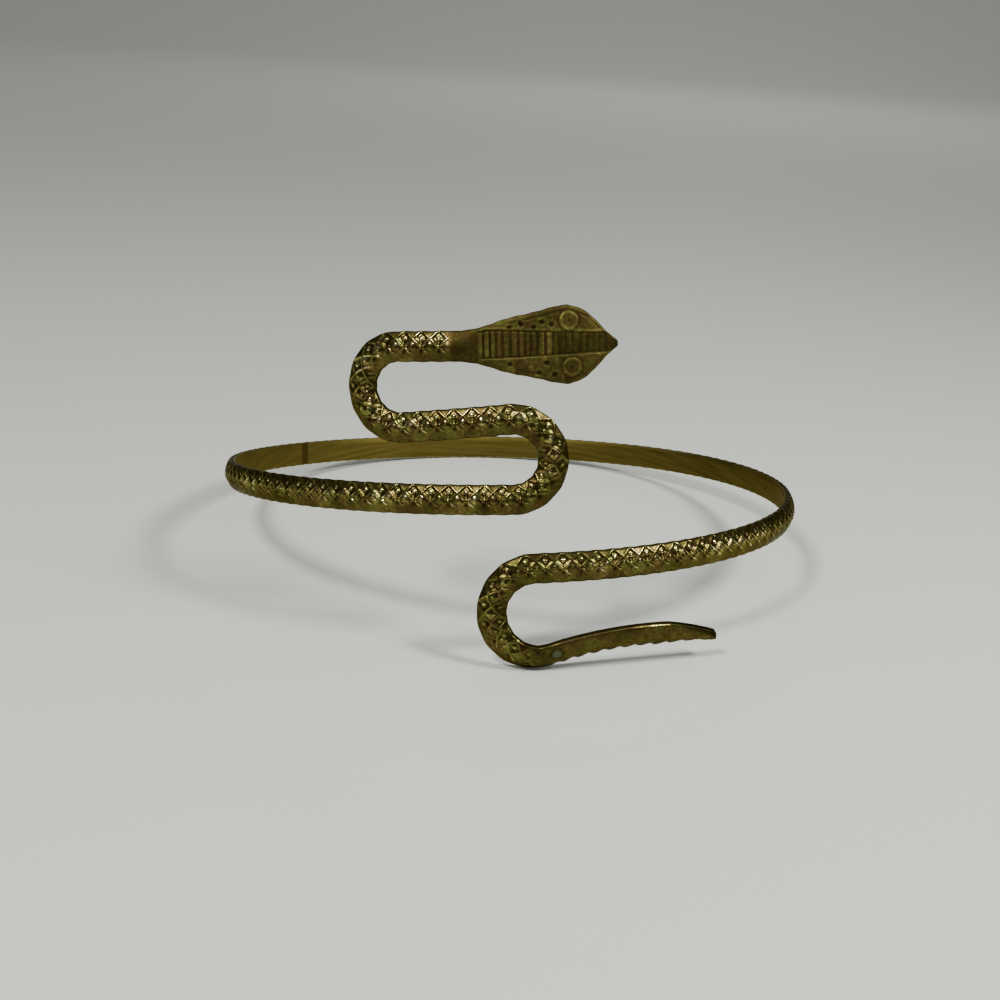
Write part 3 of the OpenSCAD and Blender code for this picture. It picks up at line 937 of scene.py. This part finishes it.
# %% Streaks of the inner face
STREAK_LONG, STREAK_WIDE = 8.3333, 0.4545  # in millimetres, wider than real drawing marks so that they show
BARE_DARK, BARE_LIGHT = "#40360f", "#7e7138"
height_at = add(tree, "ShaderNodeSeparateXYZ", {}, {"Vector": place}).outputs["Z"]
in_widths = {"operation": "MULTIPLY", 1: per_metre(STREAK_WIDE)}
crosswise = add(tree, "ShaderNodeMath", in_widths, {0: height_at}).outputs[0]
in_lengths = {"operation": "MULTIPLY", 1: 1 / STREAK_LONG}
lengthwise = add(tree, "ShaderNodeMath", in_lengths, {0: along_at}).outputs[0]
streak_place = add(tree, "ShaderNodeCombineXYZ", {}, {"X": lengthwise, "Y": crosswise}).outputs[0]
streak_look = {"Scale": 1.0, "Detail": 3.0}
streak = add(tree, "ShaderNodeTexNoise", streak_look, {"Vector": streak_place}).outputs["Fac"]
print("streaks", round(STREAK_LONG, 1), "by", round(STREAK_WIDE, 2), "mm")

# %% Colour of the inner face, darker to the right
DARKER_FROM, DARKER_TO = AT["hoop"] + 90.0, AT["hoop"] + 150.0
darkening = {"From Min": DARKER_FROM, "From Max": DARKER_TO, "To Min": 0.1, "To Max": -0.15}
fading = add(tree, "ShaderNodeMapRange", darkening, {"Value": along_at}).outputs[0]
shade = add(tree, "ShaderNodeMath", clamped_sum, {0: streak, 1: fading}).outputs[0]
bare_mix = {"data_type": "RGBA", 6: linear(BARE_DARK), 7: linear(BARE_LIGHT)}
bare = add(tree, "ShaderNodeMix", bare_mix, {0: shade}).outputs[2]
print("darker from", round(DARKER_FROM), "to", round(DARKER_TO), "mm along the strip")

# %% The dark band and the nick, and the two faces together
STAIN_AT, STAIN_HALF = AT["hoop"] + 82.0, 0.65  # the dark band's middle, and half its width
STAIN, NICK = "#4c3f1a", "#1f1808"
near_stain = {"operation": "COMPARE", 1: STAIN_AT, 2: STAIN_HALF}
in_stain = add(tree, "ShaderNodeMath", near_stain, {0: along_at}).outputs[0]
stain_mix = {"data_type": "RGBA", 7: linear(STAIN)}
stained = add(tree, "ShaderNodeMix", stain_mix, {0: in_stain, 6: bare}).outputs[2]
NICK_BELOW = 0.6 * IN_NICK  # cuts the blur from one point to the next off short
in_nick = add(tree, "ShaderNodeMath", {"operation": "LESS_THAN", 1: NICK_BELOW}, {0: patch_at}).outputs[0]
nick_mix = {"data_type": "RGBA", 7: linear(NICK)}
inner_colour = add(tree, "ShaderNodeMix", nick_mix, {0: in_nick, 6: stained}).outputs[2]
inner = add(tree, "ShaderNodeMath", {"operation": "LESS_THAN", 1: ON_BACK / 2}, {0: hollow_at}).outputs[0]
sides = {0: inner, 6: face_colour, 7: inner_colour}
colour = add(tree, "ShaderNodeMix", {"data_type": "RGBA"}, sides).outputs[2]
print("stain", round(STAIN_AT), "mm along the strip,", 2 * STAIN_HALF, "mm wide")

# %% [markdown]
# Shine
#
# Rubbed brass mirrors sharply, and tarnish, the flat head and the plain back hardly at all.
# Polish could be a mask of its own, but wear makes both the colour and the shine, so one number gives both.

# %% Shine and fine pitting
SHINY, DULL = 0.12, 0.45  # roughness of rubbed and of tarnished scales
FLAT_DULL = 0.58  # roughness of the head and the back
SHINE_FROM, DULL_TO = 2.0, 0.8  # millimetres past the head: the scales' shine begins, the head's ends
PITTING_H = 0.04  # depth of the fine pitting, in millimetres
GRAZING = "#cdc8b8"  # tarnish also dims what brass mirrors at a flat angle
shine = add(tree, "ShaderNodeMapRange", {"To Min": SHINY, "To Max": DULL}, {"Value": tarnished}).outputs[0]
flat_range = {"From Min": SHINE_FROM, "From Max": DULL_TO}
near_head = add(tree, "ShaderNodeMapRange", flat_range, {"Value": along_at}).outputs[0]
flat = add(tree, "ShaderNodeMath", {"operation": "MAXIMUM"}, {0: near_head, 1: inner}).outputs[0]
rough = add(tree, "ShaderNodeMix", {3: FLAT_DULL}, {0: flat, 2: shine}).outputs[0]
pitting = {"Strength": 0.5, "Distance": PITTING_H * MM}
bump = add(tree, "ShaderNodeBump", pitting, {"Height": grit}).outputs["Normal"]
metal = {"Metallic": 1.0, "Specular Tint": linear(GRAZING)}
finish = {"Base Color": colour, "Roughness": rough, "Normal": bump}
shader = add(tree, "ShaderNodeBsdfPrincipled", metal, finish)
add(tree, "ShaderNodeOutputMaterial", {}, {"Surface": shader.outputs[0]})
mesh.materials.append(brass)
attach(snake, "root")
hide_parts("snake_cuff")
print("nodes in the brass", len(tree.nodes))

# %% [markdown]
# The table and the light
#
# A plain pale laminate sheet, moulded smooth and half matt, stands in for the table.
# It curves up far behind the cuff, so no edge of it shows.
# Two small lamps hang in front, one on each side, so the hoop throws two rings of shadow.
# A third hangs far behind and faces straight down, and keeps the table's far end from going dark.
# One large lamp would be softer, but it would wipe out both the rings and the sparkle on the scales.
# The room is dark at eye level and bright overhead, which brass needs: it shows mostly what it mirrors.

# %% Pale table, in metres
TABLE_HALF, TABLE_NEAR, TABLE_FAR = 3.0, -1.5, 1.2
CURVE_R, WALL_TOP = 0.6, 2.6
curve = [
    (TABLE_FAR + CURVE_R * math.sin(a), CURVE_R - CURVE_R * math.cos(a))
    for a in np.linspace(0.1, math.pi / 2, 14)
]
profile = [(TABLE_NEAR, 0.0), (TABLE_FAR, 0.0)] + curve + [(TABLE_FAR + CURVE_R, WALL_TOP)]
table_points = [(x, y, z) for y, z in profile for x in (-TABLE_HALF, TABLE_HALF)]
table_faces = [(2 * i, 2 * i + 1, 2 * i + 3, 2 * i + 2) for i in range(len(profile) - 1)]
table_mesh = bpy.data.meshes.new("table")
table_mesh.from_pydata(table_points, [], table_faces)
table_mesh.polygons.foreach_set("use_smooth", [True] * len(table_mesh.polygons))
table = bpy.data.objects.new("table", table_mesh)
bpy.context.scene.collection.objects.link(table)
print("table faces", len(table_faces))

# %% Its laminate
PALE_GREY, HALF_MATT = "#dee1d6", 0.55
laminate = bpy.data.materials.new("pale_laminate")
laminate.use_nodes = True
surface = laminate.node_tree.nodes["Principled BSDF"]
surface.inputs["Base Color"].default_value = linear(PALE_GREY)
surface.inputs["Roughness"].default_value = HALF_MATT
table_mesh.materials.append(laminate)
print("table material", laminate.name)


# %% Lamps, in metres and watts
def lamp(name, across, place, watts, aim):
    """A round lamp that faces along aim."""
    light = bpy.data.lights.new(name, "AREA")
    light.shape = "DISK"
    light.size = across
    light.energy = watts
    hung = bpy.data.objects.new(name, light)
    hung.location = place
    hung.rotation_euler = Vector(aim).to_track_quat("-Z", "Y").to_euler()
    bpy.context.scene.collection.objects.link(hung)


LAMPS = [
    # name, place, how far across, watts
    ("lamp_right", (0.202, -0.112, 0.236), 0.07, 0.7),
    ("lamp_left", (-0.13, -0.207, 0.30), 0.07, 0.9),
]
for name, place_of_lamp, across, watts in LAMPS:
    lamp(name, across, place_of_lamp, watts, [-v for v in place_of_lamp])
lamp("lamp_back", 0.3, (0.15, 0.9, 0.5), 0.8, (0, 0, -1))
print("lamps", len(bpy.data.lights))

# %% Room
ROOM_STRENGTH = 0.66
ROOM_TONES = [
    # how far up, colour
    (0.0, "#393b3c"),
    (0.2, "#6c6e6f"),
    (0.5, "#8b8d8e"),
    (0.9, "#e8e9ea"),
]
world = bpy.data.worlds.new("room")
world.use_nodes = True
room_tree = world.node_tree
direction = add(room_tree, "ShaderNodeTexCoord").outputs["Generated"]
upward = add(room_tree, "ShaderNodeSeparateXYZ", {}, {"Vector": direction}).outputs["Z"]
room = add(room_tree, "ShaderNodeValToRGB", {}, {"Fac": upward}, ROOM_TONES).outputs["Color"]
background = room_tree.nodes["Background"]
room_tree.links.new(room, background.inputs["Color"])
background.inputs["Strength"].default_value = ROOM_STRENGTH
bpy.context.scene.world = world
print("room tones", len(ROOM_TONES))

# %% Camera, at the angle of the photograph
CAMERA_AT = (-0.00297, -0.18619, 0.07432)
CAMERA_TURN = (69.97, -3.519, 0.765)
camera_data = bpy.data.cameras.new("camera")
camera_data.lens = 50.75
camera_data.sensor_width = 36.0
camera_data.clip_start = 0.005
camera = bpy.data.objects.new("camera", camera_data)
camera.location = CAMERA_AT
camera.rotation_euler = Euler([math.radians(v) for v in CAMERA_TURN])
bpy.context.scene.collection.objects.link(camera)
bpy.context.scene.camera = camera
print("camera", round(math.dist(CAMERA_AT, (0, 0, 0)) / MM), "mm from where the cuff stands")
